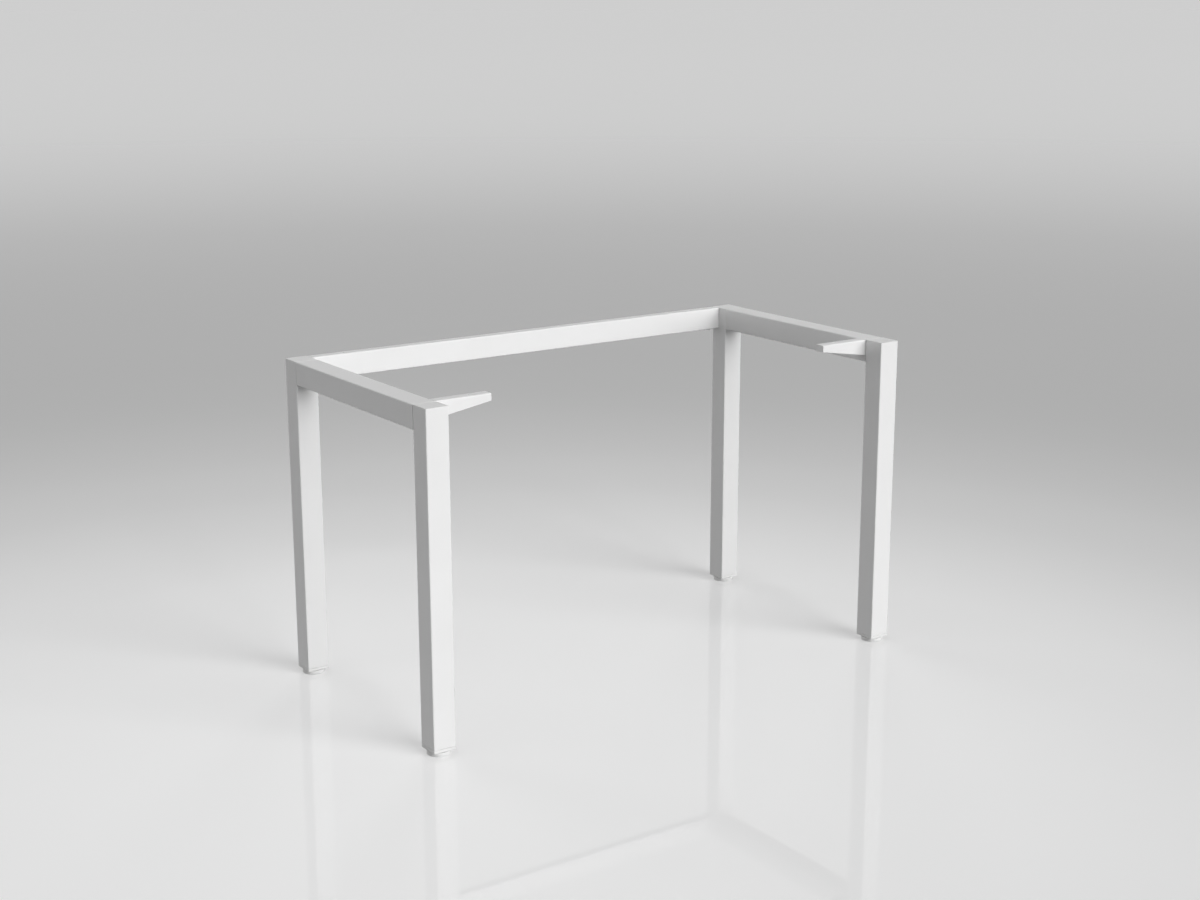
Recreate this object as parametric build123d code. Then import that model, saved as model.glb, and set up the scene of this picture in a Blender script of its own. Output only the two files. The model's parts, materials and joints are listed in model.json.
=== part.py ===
from build123d import *
import os

# A knock-down steel desk frame: two end frames of square tube, joined along the back by a slimmer
# rail. Millimetres, +X to the right, +Y to the back, +Z up, with the origin on the floor at the centre.

# Overall size
frame_width = 1200.0
frame_depth = 600.0
frame_height = 700.0

# Square tube of the legs and side rails
tube_width = 50.0
tube_wall = 1.5
top_plate_thickness = 3.0

# Rectangular tube of the back rail
back_rail_height = 50.0
back_rail_thickness = 25.0
back_rail_wall = 1.5

# Corners of both tubes: rounded outside, and cut off inside
tube_corner_radius = 2.5
tube_bore_chamfer = 1.0

# Shadow gap between the ends of the rails and the legs
rail_end_gap = 1.0

# Channel spigots welded to the legs, inside the rail ends
spigot_plate = 3.0
spigot_side_clearance = 0.3
spigot_top_clearance = 0.6
spigot_end_margin = 20.0

# Tapered brackets of folded sheet, welded to the side rails under the worktop's front edge
bracket_length = 125.0
bracket_width = 25.0
bracket_root_height = 35.0
bracket_tip_height = 15.0
bracket_sheet = 2.0
bracket_bend_radius = 1.0

# Hex-head screws of the rail joints
screw_diameter = 6.0
screw_length = 12.0
screw_head_flats = 10.0
screw_head_height = 4.0
screw_hole_clearance = 0.25
screw_inset = 25.0
thread_clearance = 0.05

# Worktop fixing holes in the brackets and the back rail
worktop_hole_diameter = 5.5
worktop_hole_tip_inset = 45.0
driver_hole_diameter = 12.0

# Moulded plugs in the lower ends of the legs
plug_flange_thickness = 6.0
plug_depth = 22.0
plug_wall = 2.0
plug_clearance = 0.2
plug_ridge_height = 1.5
plug_ridge_pitch = 7.0
plug_boss_wall = 2.5
plug_boss_height = 14.0
plug_web_thickness = 2.0
plug_bore_clearance = 0.25

# Levelling feet: a hex-headed stud in a round pad, turning in a nut held by the plug
stud_diameter = 8.0
stud_length = 40.0
stud_head_flats = 13.0
stud_head_height = 5.3
stud_head_proud = 0.5
nut_flats = 13.0
nut_height = 6.5
nut_recess = 0.5
pocket_clearance = 0.05
pad_diameter = 48.0
pad_floor_thickness = 3.0
foot_gap = 1.5

# Heights of the foot, from the floor up
pad_height = pad_floor_thickness + stud_head_height - stud_head_proud
plug_underside = pad_height + stud_head_proud + foot_gap
leg_underside = plug_underside + plug_flange_thickness

# Places of the legs and rails
SIDES = {"left": -1, "right": 1}
ENDS = {"front": -1, "rear": 1}
inner_x = frame_width / 2 - tube_width
inner_y = frame_depth / 2 - tube_width
leg_x = frame_width / 2 - tube_width / 2
leg_y = frame_depth / 2 - tube_width / 2
side_rail_end = inner_y - rail_end_gap
back_rail_end = inner_x - rail_end_gap
side_rail_underside = frame_height - tube_width
back_rail_y = frame_depth / 2 - back_rail_thickness / 2
back_rail_underside = frame_height - back_rail_height
tube_bore = tube_width - 2 * tube_wall
back_rail_bore_thickness = back_rail_thickness - 2 * back_rail_wall
back_rail_bore_height = back_rail_height - 2 * back_rail_wall

# Places and radii of the holes
worktop_hole_reach = bracket_length - worktop_hole_tip_inset
screw_hole_radius = screw_diameter / 2 + screw_hole_clearance
tapped_hole_radius = screw_diameter / 2 + thread_clearance

STANDING = (Align.CENTER, Align.CENTER, Align.MIN)


def bore_outline(width, depth):
    """Rectangle with its corners cut off, as wide as a tube's bore or as what fills it."""
    return chamfer(Rectangle(width, depth).vertices(), tube_bore_chamfer)


def tube(width, depth, wall, length):
    """Tube standing on the XY plane."""
    outline = RectangleRounded(width, depth, tube_corner_radius)
    return extrude(outline - bore_outline(width - 2 * wall, depth - 2 * wall), length)


def hexagon(flats):
    """Hexagon of the given width across its flats."""
    return RegularPolygon(flats / 2, 6, major_radius=False)


def wall_hole(radius, wall):
    """Cutter along Z for a hole in a wall that has one face at the cutter's middle."""
    return Cylinder(radius, 4 * wall)


def leg():
    """Leg tube, cut square at both ends."""
    return Pos(0, 0, leg_underside) * tube(tube_width, tube_width, tube_wall, frame_height - leg_underside)


def leg_top_plate():
    """Plate that closes the top of a leg, let in flush with the tube's end."""
    return Pos(0, 0, frame_height) * extrude(bore_outline(tube_bore, tube_bore), -top_plate_thickness)


def side_rail(side):
    """Rail between a front and a rear leg, drilled beneath for the screws of its spigots."""
    rail = tube(tube_width, tube_width, tube_wall, 2 * side_rail_end)
    rail = Pos(side * leg_x, -side_rail_end, frame_height - tube_width / 2) * Rot(-90, 0, 0) * rail
    for end in ENDS.values():
        screw_hole = Pos(side * leg_x, end * (inner_y - screw_inset), side_rail_underside)
        rail -= screw_hole * wall_hole(screw_hole_radius, tube_wall)
    return rail


def back_rail():
    """Rail between the rear legs, drilled beneath for its spigots and through for the worktop screws."""
    rail = tube(back_rail_height, back_rail_thickness, back_rail_wall, 2 * back_rail_end)
    rail = Pos(-back_rail_end, back_rail_y, frame_height - back_rail_height / 2) * Rot(0, 90, 0) * rail
    for side in SIDES.values():
        screw_hole = Pos(side * (inner_x - screw_inset), back_rail_y, back_rail_underside)
        worktop_hole = Pos(side * (inner_x - worktop_hole_reach), back_rail_y, frame_height)
        driver_hole = worktop_hole * Pos(0, 0, -back_rail_height)
        rail -= screw_hole * wall_hole(screw_hole_radius, back_rail_wall)
        rail -= worktop_hole * wall_hole(worktop_hole_diameter / 2, back_rail_wall)
        rail -= driver_hole * wall_hole(driver_hole_diameter / 2, back_rail_wall)
    return rail


def spigot(bore_width, bore_height):
    """Channel along +Y from a leg, on the floor of a rail's bore and tapped for the rail's screw."""
    width = bore_width - 2 * spigot_side_clearance
    height = bore_height - spigot_top_clearance
    outline = Pos(0, height / 2) * bore_outline(width, height)
    trough = Pos(0, height / 2 + spigot_plate) * Rectangle(width - 2 * spigot_plate, height)
    channel = Rot(90, 0, 0) * extrude(outline - trough, -(screw_inset + spigot_end_margin))
    return channel - Pos(0, screw_inset, 0) * wall_hole(tapped_hole_radius, spigot_plate)


def bracket():
    """Left bracket: a tapered channel of folded sheet, open beneath and closed at its tip."""
    profile = Polyline(
        (0, 0),
        (bracket_length, 0),
        (bracket_length, -bracket_tip_height),
        (0, -bracket_root_height),
        close=True,
    )
    arm = extrude(Plane.XZ * make_face(profile), -bracket_width)
    folds = arm.edges().filter_by(Axis.X).group_by(Axis.Z)[-1]
    arm = fillet(folds, bracket_bend_radius + bracket_sheet)
    hollow = Box(
        bracket_length - bracket_sheet,
        bracket_width - 2 * bracket_sheet,
        bracket_root_height,
        align=(Align.MIN, Align.CENTER, Align.MAX),
    )
    folds = hollow.edges().filter_by(Axis.X).group_by(Axis.Z)[-1]
    arm -= Pos(0, bracket_width / 2, -bracket_sheet) * fillet(folds, bracket_bend_radius)
    worktop_hole = Pos(worktop_hole_reach, bracket_width / 2, 0)
    arm -= worktop_hole * wall_hole(worktop_hole_diameter / 2, bracket_sheet)
    return Pos(-inner_x, -side_rail_end, frame_height) * arm


def screw():
    """Screw pointing up, with the underside of its head on the XY plane."""
    head = extrude(hexagon(screw_head_flats), -screw_head_height)
    return head + Cylinder(screw_diameter / 2, screw_length, align=STANDING)


def side_rail_screws():
    """Screws up through the undersides of both side rails into their spigots."""
    places = [
        Pos(side * leg_x, end * (inner_y - screw_inset), side_rail_underside)
        for side in SIDES.values()
        for end in ENDS.values()
    ]
    return Compound([place * screw() for place in places])


def back_rail_screws():
    """Screws up through the underside of the back rail into its spigots."""
    places = [
        Pos(side * (inner_x - screw_inset), back_rail_y, back_rail_underside)
        for side in SIDES.values()
    ]
    return Compound([place * screw() for place in places])


def foot_plug():
    """Moulded plug: a flange under the tube, a ridged sleeve inside it and a webbed boss over the nut."""
    flange = extrude(RectangleRounded(tube_width, tube_width, tube_corner_radius), plug_flange_thickness)
    sleeve_width = tube_bore - 2 * plug_clearance
    hollow_width = sleeve_width - 2 * plug_wall
    hollow = Box(hollow_width, hollow_width, plug_depth, align=STANDING)
    sleeve = extrude(bore_outline(sleeve_width, sleeve_width), plug_depth)
    ridge = extrude(bore_outline(tube_bore, tube_bore), plug_ridge_height)
    for number in range(int(plug_depth // plug_ridge_pitch)):
        sleeve += Pos(0, 0, plug_ridge_pitch * (number + 0.5)) * ridge
    nut_outline = hexagon(nut_flats + 2 * pocket_clearance)
    boss = extrude(offset(nut_outline, plug_boss_wall, kind=Kind.INTERSECTION), plug_boss_height)
    web = Box(sleeve_width - plug_wall, plug_web_thickness, plug_boss_height, align=STANDING)
    core = sleeve - hollow + boss + web + Rot(0, 0, 90) * web
    bore_radius = stud_diameter / 2 + plug_bore_clearance
    bore = Cylinder(bore_radius, plug_flange_thickness + plug_boss_height, align=STANDING)
    pocket = extrude(nut_outline, nut_recess + nut_height)
    plug = flange + Pos(0, 0, plug_flange_thickness) * core - bore - pocket
    return Pos(0, 0, plug_underside) * plug


def foot_nuts():
    """Hex nuts for the levelling studs, each against the roof of its plug's pocket."""
    nut = extrude(hexagon(nut_flats), nut_height)
    nut -= Cylinder(stud_diameter / 2 + thread_clearance, nut_height, align=STANDING)
    height = plug_underside + nut_recess
    places = [Pos(side * leg_x, end * leg_y, height) for side in SIDES.values() for end in ENDS.values()]
    return Compound([place * nut for place in places])


def foot_stud():
    """Levelling stud, with its hex head at the bottom of the pad's pocket."""
    head = extrude(hexagon(stud_head_flats), stud_head_height)
    shank = Cylinder(stud_diameter / 2, stud_length, align=STANDING)
    return Pos(0, 0, pad_floor_thickness) * (head + Pos(0, 0, stud_head_height) * shank)


def foot_pad():
    """Round moulded pad with a hex pocket for the stud's head."""
    pad = Cylinder(pad_diameter / 2, pad_height, align=STANDING)
    pocket = extrude(hexagon(stud_head_flats + 2 * pocket_clearance), stud_head_height)
    return pad - Pos(0, 0, pad_floor_thickness) * pocket


def corner_pieces(side_name, end_name):
    """A leg with its plate, foot and side rail spigot, by name."""
    side = SIDES[side_name]
    end = ENDS[end_name]
    corner = f"{end_name}_{side_name}"
    upright = Pos(side * leg_x, end * leg_y, 0)
    seat = Pos(side * leg_x, end * inner_y, side_rail_underside + tube_wall)
    towards_rail = Rot(0, 0, 90 + end * 90)
    return {
        f"leg_{corner}": upright * leg(),
        f"leg_top_plate_{corner}": upright * leg_top_plate(),
        f"spigot_{corner}": seat * towards_rail * spigot(tube_bore, tube_bore),
        f"foot_plug_{corner}": upright * foot_plug(),
        f"foot_stud_{corner}": upright * foot_stud(),
        f"foot_pad_{corner}": upright * foot_pad(),
    }


def frame_pieces():
    """Every piece of the frame in its place, by name."""
    pieces = {
        "back_rail": back_rail(),
        "back_rail_screws": back_rail_screws(),
        "bracket_left": bracket(),
        "bracket_right": mirror(bracket(), Plane.YZ),
        "foot_nuts": foot_nuts(),
        "side_rail_screws": side_rail_screws(),
    }
    for side_name, side in SIDES.items():
        seat = Pos(side * inner_x, back_rail_y, back_rail_underside + back_rail_wall)
        towards_rail = Rot(0, 0, side * 90)
        channel = spigot(back_rail_bore_thickness, back_rail_bore_height)
        pieces[f"spigot_back_{side_name}"] = seat * towards_rail * channel
        pieces[f"side_rail_{side_name}"] = side_rail(side)
        for end_name in ENDS:
            pieces.update(corner_pieces(side_name, end_name))
    return pieces


os.makedirs("parts", exist_ok=True)
for name, piece in frame_pieces().items():
    export_step(piece, f"parts/{name}.step")
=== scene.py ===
import json
import math

import bmesh
import bpy
from mathutils import Matrix, Vector


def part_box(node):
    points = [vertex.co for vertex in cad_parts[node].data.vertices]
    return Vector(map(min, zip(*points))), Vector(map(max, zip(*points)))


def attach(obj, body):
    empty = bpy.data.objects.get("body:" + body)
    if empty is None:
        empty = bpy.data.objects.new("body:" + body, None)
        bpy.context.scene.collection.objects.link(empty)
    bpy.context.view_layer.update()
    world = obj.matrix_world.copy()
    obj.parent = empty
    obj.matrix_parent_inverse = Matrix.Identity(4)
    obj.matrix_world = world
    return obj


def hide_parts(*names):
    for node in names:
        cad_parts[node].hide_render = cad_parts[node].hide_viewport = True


# The finish of a white steel desk frame, its moulded feet and its screws, on a pale studio floor.
# Metres, with the origin on the floor under the middle of the frame, +Y to the back and +Z up.

# Camera
camera_place = Vector((-2.2475, -3.2425, 1.4539))
camera_yaw = math.radians(34.761)
camera_pitch = math.radians(-13.933)
camera_roll = math.radians(-0.089)
camera_lens = 55.52

# Light: a sky that is brightest where it leans, the studio that the camera sees, and three lamps,
# each with the side it shines from, the angle it fills and its power
sky_low = 0.045
sky_high = 0.558
sky_lean = Vector((-0.83, 0.27, 0.488))
studio_level = 0.62
key_side = Vector((3.8, -14.5, 4.7))
key_width = math.radians(50.0)
key_power = 3.2
rim_side = Vector((-1.5, 6.5, 1.0))
rim_width = math.radians(40.0)
rim_power = 1.1
fill_side = Vector((4.5, 5.0, 0.55))
fill_width = math.radians(20.0)
fill_power = 1.2

# Floor, with a pool of light painted into its grey and its glow by distance: 0 at the middle of the painted
# pool of light and 1 far away
floor_radius = 150.0
floor_sides = 96
floor_roughness = 0.03
floor_ior = 1.45
floor_bounce = 0.15
painted_pool_centre = (-0.65, -0.51, 0.0)
painted_pool_reach = 3.0
# Painted pool of light: the floor's grey for the camera and glosses, lightest round the frame and changing
# outwards
painted_pool_grey = (
    (0.0, 0.84),
    (0.20, 0.86),
    (0.35, 0.86),
    (0.42, 0.74),
    (0.47, 0.65),
    (0.53, 0.54),
    (0.62, 0.49),
    (0.71, 0.47),
    (0.77, 0.54),
    (0.83, 0.60),
    (0.88, 0.60),
    (0.94, 0.54),
    (1.0, 0.42),
)
# Painted glow: light that the floor gives off for the camera and glosses only, strongest round the frame
painted_pool_glow = (
    (0.0, 0.215),
    (0.25, 0.168),
    (0.40, 0.085),
    (0.55, 0.01),
    (0.74, 0.0),
    (0.83, 0.05),
    (0.92, 0.05),
    (1.0, 0.0),
)

# Noise, where nearly all of it lies between two values
noise_low = 0.3
noise_high = 0.7

# Rounded edges, where steel is cut or plastic is moulded
steel_edge = 0.0004
sheet_edge = 0.0004
plug_edge = 0.0004
edge_skin = 0.0011
edge_steps = 3
edge_profile = 0.5
sharp_angle = math.radians(60.0)
flat_angle = math.radians(0.5)
weld_distance = 0.000001
foot_seam = 0.0005

# Feet and screws
stud_radius = 0.004
stud_pitch = 0.00125
stud_head_height = 0.0053
screw_radius = 0.003
screw_pitch = 0.001
screw_flats = 0.01
screw_head_height = 0.004
shank_overlap = 0.0003
place_digits = 6
pocket_clearance = 0.00005
pad_top_round = 0.0018
pad_foot_round = 0.0009
round_columns = 96
bend_steps = 6
chamfer_slope = math.tan(math.radians(30.0))
chamfer_share = 0.95
thread_columns = 36
thread_rows = 8
thread_depth_share = 0.613
thread_crest_share = 0.125
thread_root_share = 0.25


def new_material(name):
    """Material with its node tree and its main shader."""
    material = bpy.data.materials.new(name)
    material.use_nodes = True
    return material, material.node_tree, material.node_tree.nodes["Principled BSDF"]


def noise(tree, scale, detail, stretch=(1.0, 1.0, 1.0)):
    """Noise through the solid, with about this many features to the metre."""
    place = tree.nodes.new("ShaderNodeTexCoord")
    mapping = tree.nodes.new("ShaderNodeMapping")
    mapping.inputs["Scale"].default_value = stretch
    texture = tree.nodes.new("ShaderNodeTexNoise")
    texture.inputs["Scale"].default_value = scale
    texture.inputs["Detail"].default_value = detail
    tree.links.new(place.outputs["Object"], mapping.inputs["Vector"])
    tree.links.new(mapping.outputs["Vector"], texture.inputs["Vector"])
    return texture.outputs["Fac"]


def tint(tree, shader, cloud, low, high):
    """Colour that drifts between two others as the noise does."""
    ramp = tree.nodes.new("ShaderNodeValToRGB")
    first, last = ramp.color_ramp.elements
    first.position = noise_low
    first.color = (*low, 1.0)
    last.position = noise_high
    last.color = (*high, 1.0)
    tree.links.new(cloud, ramp.inputs["Fac"])
    tree.links.new(ramp.outputs["Color"], shader.inputs["Base Color"])


def roughen(tree, shader, cloud, low, high):
    """Roughness that drifts between two values as the noise does."""
    span = tree.nodes.new("ShaderNodeMapRange")
    span.inputs["From Min"].default_value = noise_low
    span.inputs["From Max"].default_value = noise_high
    span.inputs["To Min"].default_value = low
    span.inputs["To Max"].default_value = high
    tree.links.new(cloud, span.inputs["Value"])
    tree.links.new(span.outputs["Result"], shader.inputs["Roughness"])


def emboss(tree, shader, grain, strength, depth):
    """Surface relief of the given depth that follows the noise."""
    relief = tree.nodes.new("ShaderNodeBump")
    relief.inputs["Strength"].default_value = strength
    relief.inputs["Distance"].default_value = depth
    tree.links.new(grain, relief.inputs["Height"])
    tree.links.new(relief.outputs["Normal"], shader.inputs["Normal"])


def powder_coat():
    """White satin powder coat with a fine orange peel."""
    material, tree, shader = new_material("white_powder_coat")
    cloud = noise(tree, scale=7.0, detail=4.0)
    tint(tree, shader, cloud, low=(0.845, 0.845, 0.843), high=(0.872, 0.872, 0.872))
    smear = noise(tree, scale=60.0, detail=3.0)
    roughen(tree, shader, smear, low=0.36, high=0.46)
    peel = noise(tree, scale=650.0, detail=2.0)
    emboss(tree, shader, peel, strength=0.25, depth=0.00006)
    return material


def white_plastic():
    """White moulded plastic with a fine spark-eroded grain."""
    material, tree, shader = new_material("white_moulded_plastic")
    cloud = noise(tree, scale=40.0, detail=3.0)
    tint(tree, shader, cloud, low=(0.84, 0.84, 0.835), high=(0.87, 0.87, 0.865))
    smear = noise(tree, scale=300.0, detail=2.0)
    roughen(tree, shader, smear, low=0.42, high=0.56)
    grain = noise(tree, scale=2400.0, detail=1.0)
    emboss(tree, shader, grain, strength=0.3, depth=0.00003)
    return material


def zinc_steel():
    """Bright zinc plate with faint turning marks."""
    material, tree, shader = new_material("bright_zinc_plate")
    cloud = noise(tree, scale=150.0, detail=3.0)
    tint(tree, shader, cloud, low=(0.55, 0.56, 0.58), high=(0.66, 0.66, 0.64))
    smear = noise(tree, scale=400.0, detail=3.0)
    roughen(tree, shader, smear, low=0.22, high=0.38)
    marks = noise(tree, scale=250.0, detail=2.0, stretch=(1.0, 1.0, 12.0))
    emboss(tree, shader, marks, strength=0.2, depth=0.00003)
    shader.inputs["Metallic"].default_value = 1.0
    return material


def seen_rays(tree):
    """1 for what the camera sees, straight or in a gloss, and 0 for what only lights other surfaces."""
    path = tree.nodes.new("ShaderNodeLightPath")
    seen = tree.nodes.new("ShaderNodeMath")
    seen.operation = "MAXIMUM"
    tree.links.new(path.outputs["Is Camera Ray"], seen.inputs[0])
    tree.links.new(path.outputs["Is Glossy Ray"], seen.inputs[1])
    return seen.outputs["Value"]


def level_ramp(tree, value, levels):
    """Grey that changes smoothly with a value, through the given pairs of a position and a grey."""
    ramp = tree.nodes.new("ShaderNodeValToRGB")
    ramp.color_ramp.interpolation = "CARDINAL"
    stops = ramp.color_ramp.elements
    for position, _ in levels[1:-1]:
        stops.new(position)
    for stop, (position, grey) in zip(stops, levels):
        stop.position = position
        stop.color = (grey, grey, grey, 1.0)
    tree.links.new(value, ramp.inputs["Fac"])
    return ramp.outputs["Color"]


def painted_pool_share(tree):
    """Distance by which the floor's painted pool of light changes: 0 at its middle and 1 far away."""
    place = tree.nodes.new("ShaderNodeTexCoord")
    distance = tree.nodes.new("ShaderNodeVectorMath")
    distance.operation = "DISTANCE"
    distance.inputs[1].default_value = painted_pool_centre
    tree.links.new(place.outputs["Object"], distance.inputs[0])
    beyond = tree.nodes.new("ShaderNodeMath")
    beyond.operation = "ADD"
    beyond.inputs[1].default_value = painted_pool_reach
    tree.links.new(distance.outputs["Value"], beyond.inputs[0])
    share = tree.nodes.new("ShaderNodeMath")
    share.operation = "DIVIDE"
    tree.links.new(distance.outputs["Value"], share.inputs[0])
    tree.links.new(beyond.outputs["Value"], share.inputs[1])
    return share.outputs["Value"]


def studio_floor():
    """Glossy pale floor, brightest in a painted pool of light round the frame, in its grey and in a glow that
    the camera and glosses see.
    """
    material, tree, shader = new_material("studio_floor")
    shader.inputs["Roughness"].default_value = floor_roughness
    shader.inputs["IOR"].default_value = floor_ior
    share = painted_pool_share(tree)
    seen = seen_rays(tree)
    grey = tree.nodes.new("ShaderNodeMix")
    grey.data_type = "RGBA"
    grey.inputs["A"].default_value = (floor_bounce, floor_bounce, floor_bounce, 1.0)
    tree.links.new(seen, grey.inputs["Factor"])
    # The grey that the camera and glosses see paints the pool of light; other rays get the plain floor_bounce
    # grey.
    tree.links.new(level_ramp(tree, share, painted_pool_grey), grey.inputs["B"])
    tree.links.new(grey.outputs["Result"], shader.inputs["Base Color"])
    # Painted glow of the pool of light, given off for the camera and glosses only
    tree.links.new(level_ramp(tree, share, painted_pool_glow), shader.inputs["Emission Color"])
    tree.links.new(seen, shader.inputs["Emission Strength"])
    return material


def add_floor():
    """Round floor that reaches to the horizon."""
    mesh = bpy.data.meshes.new("floor")
    shape = bmesh.new()
    bmesh.ops.create_circle(shape, cap_ends=True, segments=floor_sides, radius=floor_radius)
    shape.to_mesh(mesh)
    shape.free()
    floor = bpy.data.objects.new("floor", mesh)
    bpy.context.collection.objects.link(floor)
    mesh.materials.append(studio_floor())


def add_lamp(name, side, width, power):
    """Broad soft light from one side, as even as from a large soft box far away."""
    lamp = bpy.data.lights.new(name, "SUN")
    lamp.angle = width
    lamp.energy = power
    piece = bpy.data.objects.new(name, lamp)
    piece.rotation_euler = (-side).to_track_quat("-Z", "Y").to_euler()
    piece.visible_camera = False
    piece.visible_glossy = False
    bpy.context.collection.objects.link(piece)


def add_world():
    """Dome of soft light, strongest high on the left, and a pale studio round what the camera sees."""
    world = bpy.data.worlds.new("studio")
    world.use_nodes = True
    tree = world.node_tree
    direction = tree.nodes.new("ShaderNodeTexCoord")
    nearness = tree.nodes.new("ShaderNodeVectorMath")
    nearness.operation = "DOT_PRODUCT"
    nearness.inputs[1].default_value = sky_lean
    tree.links.new(direction.outputs["Generated"], nearness.inputs[0])
    dome = tree.nodes.new("ShaderNodeMapRange")
    dome.inputs["To Min"].default_value = sky_low
    dome.inputs["To Max"].default_value = sky_high
    tree.links.new(nearness.outputs["Value"], dome.inputs["Value"])
    light = tree.nodes.new("ShaderNodeMix")
    light.inputs["B"].default_value = studio_level
    tree.links.new(seen_rays(tree), light.inputs["Factor"])
    tree.links.new(dome.outputs["Result"], light.inputs["A"])
    background = tree.nodes["Background"]
    background.inputs["Color"].default_value = (1.0, 1.0, 1.0, 1.0)
    tree.links.new(light.outputs["Result"], background.inputs["Strength"])
    bpy.context.scene.world = world


def add_camera():
    """Camera at the photograph's place."""
    lens = bpy.data.cameras.new("camera")
    lens.lens = camera_lens
    camera = bpy.data.objects.new("camera", lens)
    turn = Matrix.Rotation(-camera_yaw, 4, "Z") @ Matrix.Rotation(math.pi / 2 + camera_pitch, 4, "X")
    camera.matrix_world = Matrix.Translation(camera_place) @ turn @ Matrix.Rotation(camera_roll, 4, "Z")
    bpy.context.collection.objects.link(camera)
    bpy.context.scene.camera = camera


def add_piece(name, shape, node):
    """Object made from a shape, which takes the place, body and finish of a node."""
    mesh = bpy.data.meshes.new(name)
    bmesh.ops.recalc_face_normals(shape, faces=shape.faces)
    shape.to_mesh(mesh)
    shape.free()
    for leftover in ("custom_normal", "sharp_edge"):
        if leftover in mesh.attributes:
            mesh.attributes.remove(mesh.attributes[leftover])
    mesh.materials.append(finishes[slots[node]])
    piece = bpy.data.objects.new(name, mesh)
    bpy.context.collection.objects.link(piece)
    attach(piece, bodies[node])
    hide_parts(node)


def on_skin(node, across):
    """Test for an edge's place: close to the node's outside, measured along the given axes."""
    low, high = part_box(node)

    def close(edge):
        middle = (edge.verts[0].co + edge.verts[1].co) / 2
        return min(min(middle[axis] - low[axis], high[axis] - middle[axis]) for axis in across) < edge_skin

    return close


def everywhere(edge):
    """Test for an edge's place that every edge passes."""
    return True


def rounded(node, width, chosen):
    """The node's shape with the sharp edges that are chosen rounded off."""
    shape = bmesh.new()
    shape.from_mesh(frame["nodes"][node].data)
    bmesh.ops.remove_doubles(shape, verts=shape.verts, dist=weld_distance)
    bmesh.ops.dissolve_limit(shape, angle_limit=flat_angle, verts=shape.verts, edges=shape.edges)
    rims = [edge for edge in shape.edges if edge.calc_face_angle(0.0) > sharp_angle and chosen(edge)]
    bmesh.ops.bevel(
        shape,
        geom=rims,
        offset=width,
        segments=edge_steps,
        profile=edge_profile,
        affect="EDGES",
    )
    for face in shape.faces:
        face.smooth = max(abs(value) for value in face.normal) < math.cos(flat_angle)
    return shape


def leg_shape(node):
    """Leg with rounded edges, whose lower end stands off its foot plug by a fine seam."""
    shape = rounded(node, steel_edge, on_skin(node, (0, 1)))
    low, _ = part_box(node)
    for vertex in shape.verts:
        if vertex.co.z < low.z + edge_skin:
            vertex.co.z += foot_seam
    return shape


def point_round(centre, reach, angle, height):
    """Point at a radius, an angle and a height round an upright axis."""
    return Vector((centre.x + reach * math.cos(angle), centre.y + reach * math.sin(angle), height))


def ring(centre, height, reach):
    """Points round an upright axis, where height and reach give the height and radius at an angle."""
    angles = [2 * math.pi * number / round_columns for number in range(round_columns)]
    return [point_round(centre, reach(angle), angle, height(angle)) for angle in angles]


def level(value):
    """The same value at every angle."""
    return lambda angle: value


def hexagon(flats):
    """Radius at an angle of a hexagon with corners on the X axis."""
    return lambda angle: flats / 2 / math.cos(angle % (math.pi / 3) - math.pi / 6)


def add_rings(shape, rings):
    """Closed skin over rings of points, with a flat end on the first and last."""
    loops = [[shape.verts.new(point) for point in points] for points in rings]
    for first, second in zip(loops, loops[1:]):
        for number in range(round_columns):
            after = (number + 1) % round_columns
            face = shape.faces.new((first[number], first[after], second[after], second[number]))
            face.smooth = True
    shape.faces.new(loops[0])
    shape.faces.new(loops[-1])


def add_hex_head(shape, centre, flats, low, high):
    """Hex head with the corners of both ends turned off."""
    edge = hexagon(flats)
    turned = chamfer_share * flats / 2
    rings = [
        ring(centre, level(low), level(turned)),
        ring(centre, lambda angle: low + chamfer_slope * (edge(angle) - turned), edge),
        ring(centre, lambda angle: high - chamfer_slope * (edge(angle) - turned), edge),
        ring(centre, level(high), level(turned)),
    ]
    add_rings(shape, rings)


def thread_height(share):
    """Height of a thread, from 0 at its root to 1 at its crest, at a share of its pitch."""
    from_crest = abs(share - 0.5)
    flank = 0.5 - thread_root_share / 2 - thread_crest_share / 2
    return min(max((0.5 - thread_root_share / 2 - from_crest) / flank, 0.0), 1.0)


def add_thread(shape, centre, radius, pitch, low, high):
    """Threaded shank that runs out at both ends."""
    depth = thread_depth_share * pitch
    rows = range(thread_rows * (math.ceil((high - low) / pitch) + 2) + 1)

    def point(column, row):
        height = low - pitch + pitch * (row / thread_rows + column / thread_columns)
        height = min(max(height, low), high)
        run_out = min(height - low, high - height, pitch) / pitch
        reach = radius - depth + depth * run_out * thread_height(row % thread_rows / thread_rows)
        return point_round(centre, reach, 2 * math.pi * column / thread_columns, height)

    grid = [[shape.verts.new(point(column, row)) for row in rows] for column in range(thread_columns)]
    grid.append(grid[0][thread_rows:])
    for first, second in zip(grid, grid[1:]):
        for row in range(len(second) - 1):
            face = shape.faces.new((first[row], second[row], second[row + 1], first[row + 1]))
            face.smooth = True
    bmesh.ops.remove_doubles(shape, verts=shape.verts, dist=weld_distance)
    bmesh.ops.holes_fill(shape, edges=[edge for edge in shape.edges if edge.is_boundary], sides=0)


def stud_shape(node):
    """Levelling stud: a hex head under a threaded shank."""
    low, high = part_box(node)
    centre = (low + high) / 2
    head_top = low.z + stud_head_height
    shape = bmesh.new()
    add_hex_head(shape, centre, high.y - low.y, low.z, head_top)
    add_thread(shape, centre, stud_radius, stud_pitch, head_top - shank_overlap, high.z)
    return shape


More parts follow.
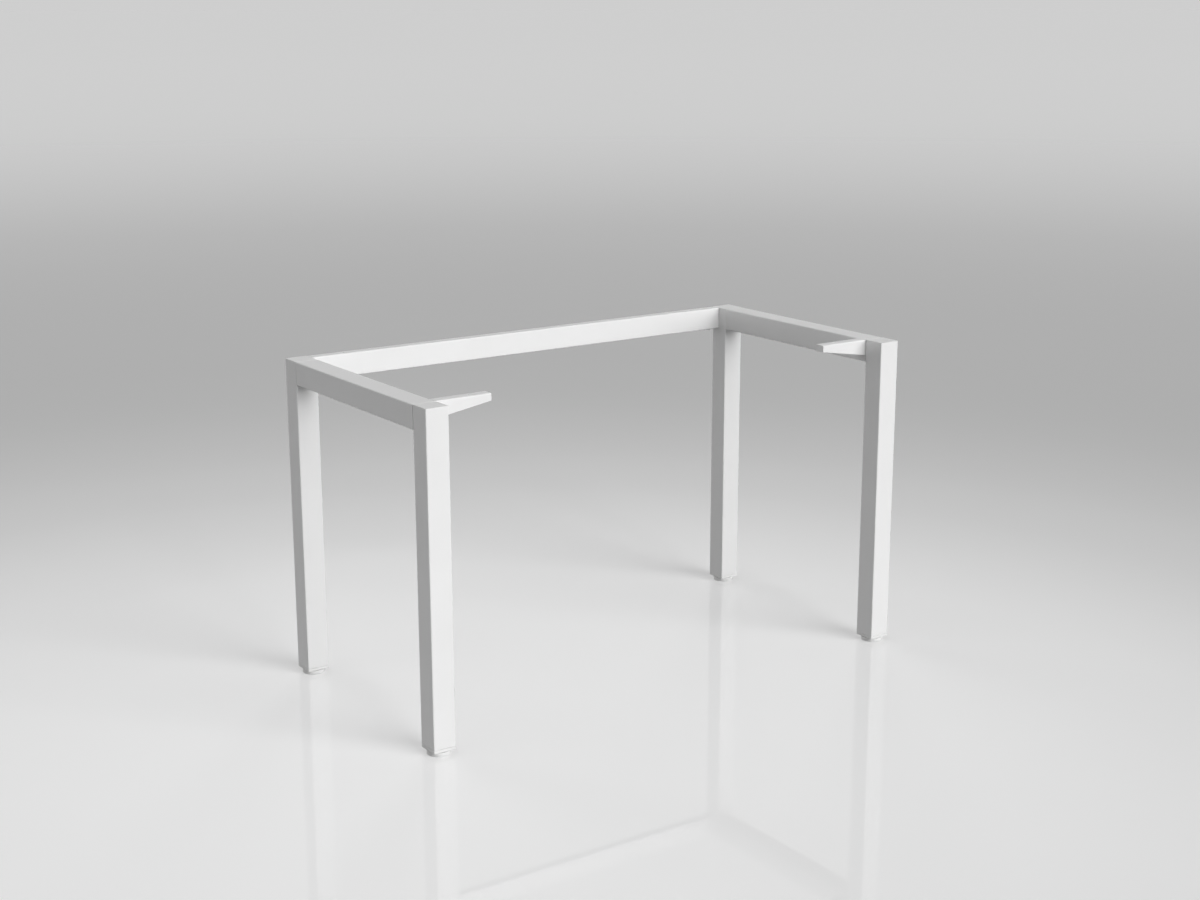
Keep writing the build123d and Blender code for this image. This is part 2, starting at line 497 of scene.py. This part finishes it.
def screw_shape(node):
    """Hex-head screws of the rails' joints, pointing up, at the corners or the two ends of the node's box."""
    low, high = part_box(node)
    half_corners = screw_flats / math.sqrt(3)
    half_flats = screw_flats / 2
    head_top = low.z + screw_head_height
    rows = sorted({round(low.y + half_flats, place_digits), round(high.y - half_flats, place_digits)})
    shape = bmesh.new()
    for x in (low.x + half_corners, high.x - half_corners):
        for y in rows:
            centre = Vector((x, y, 0.0))
            add_hex_head(shape, centre, screw_flats, low.z, head_top)
            add_thread(shape, centre, screw_radius, screw_pitch, head_top - shank_overlap, high.z)
    return shape


def pad_shape(node, stud):
    """Moulded pad with rounded rims and a hex pocket for the stud's head."""
    low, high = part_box(node)
    stud_low, stud_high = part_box(stud)
    centre = (low + high) / 2
    radius = (high.x - low.x) / 2
    pocket = hexagon(stud_high.y - stud_low.y + 2 * pocket_clearance)
    bends = [math.pi / 2 * step / bend_steps for step in range(bend_steps + 1)]
    rings = [ring(centre, level(stud_low.z), pocket), ring(centre, level(high.z), pocket)]
    for bend in bends:
        reach = radius - pad_top_round * (1 - math.sin(bend))
        rings.append(ring(centre, level(high.z - pad_top_round * (1 - math.cos(bend))), level(reach)))
    for bend in bends:
        reach = radius - pad_foot_round * (1 - math.cos(bend))
        rings.append(ring(centre, level(low.z + pad_foot_round * (1 - math.sin(bend))), level(reach)))
    shape = bmesh.new()
    add_rings(shape, rings)
    shape.normal_update()
    for face in shape.faces:
        face.smooth = abs(face.normal.z) < math.cos(flat_angle)
    return shape


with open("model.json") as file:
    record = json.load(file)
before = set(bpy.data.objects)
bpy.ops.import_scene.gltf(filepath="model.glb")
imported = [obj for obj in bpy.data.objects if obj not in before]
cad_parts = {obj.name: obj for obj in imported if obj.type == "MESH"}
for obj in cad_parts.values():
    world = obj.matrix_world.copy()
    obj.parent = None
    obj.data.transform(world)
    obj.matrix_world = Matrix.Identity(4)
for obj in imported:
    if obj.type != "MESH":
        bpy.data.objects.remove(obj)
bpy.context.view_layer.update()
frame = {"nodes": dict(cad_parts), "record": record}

finishes = {"powder_coat": powder_coat(), "white_plastic": white_plastic(), "zinc_steel": zinc_steel()}
slots = {subpart["node"]: subpart["material_slot"] for subpart in frame["record"]["subparts"]}
bodies = {node: body for body, nodes in frame["record"]["behaviour"]["bodies"].items() for node in nodes}
for node, slot in slots.items():
    frame["nodes"][node].data.materials.clear()
    frame["nodes"][node].data.materials.append(finishes[slot])

for corner in ("front_left", "front_right", "rear_left", "rear_right"):
    leg, plug, stud, pad = (f"{kind}_{corner}" for kind in ("leg", "foot_plug", "foot_stud", "foot_pad"))
    add_piece(f"coated_{leg}", leg_shape(leg), leg)
    add_piece(f"moulded_{plug}", rounded(plug, plug_edge, on_skin(plug, (0, 1))), plug)
    add_piece(f"threaded_{stud}", stud_shape(stud), stud)
    add_piece(f"moulded_{pad}", pad_shape(pad, stud), pad)
for rail, across in (("side_rail_left", (0, 2)), ("side_rail_right", (0, 2)), ("back_rail", (1, 2))):
    add_piece(f"coated_{rail}", rounded(rail, steel_edge, on_skin(rail, across)), rail)
for bracket in ("bracket_left", "bracket_right"):
    add_piece(f"coated_{bracket}", rounded(bracket, sheet_edge, everywhere), bracket)
for screws in ("side_rail_screws", "back_rail_screws"):
    add_piece(f"threaded_{screws}", screw_shape(screws), screws)

add_floor()
add_world()
add_lamp("key", key_side, key_width, key_power)
add_lamp("rim", rim_side, rim_width, rim_power)
add_lamp("fill", fill_side, fill_width, fill_power)
add_camera()
bpy.context.scene.view_settings.view_transform = "Standard"
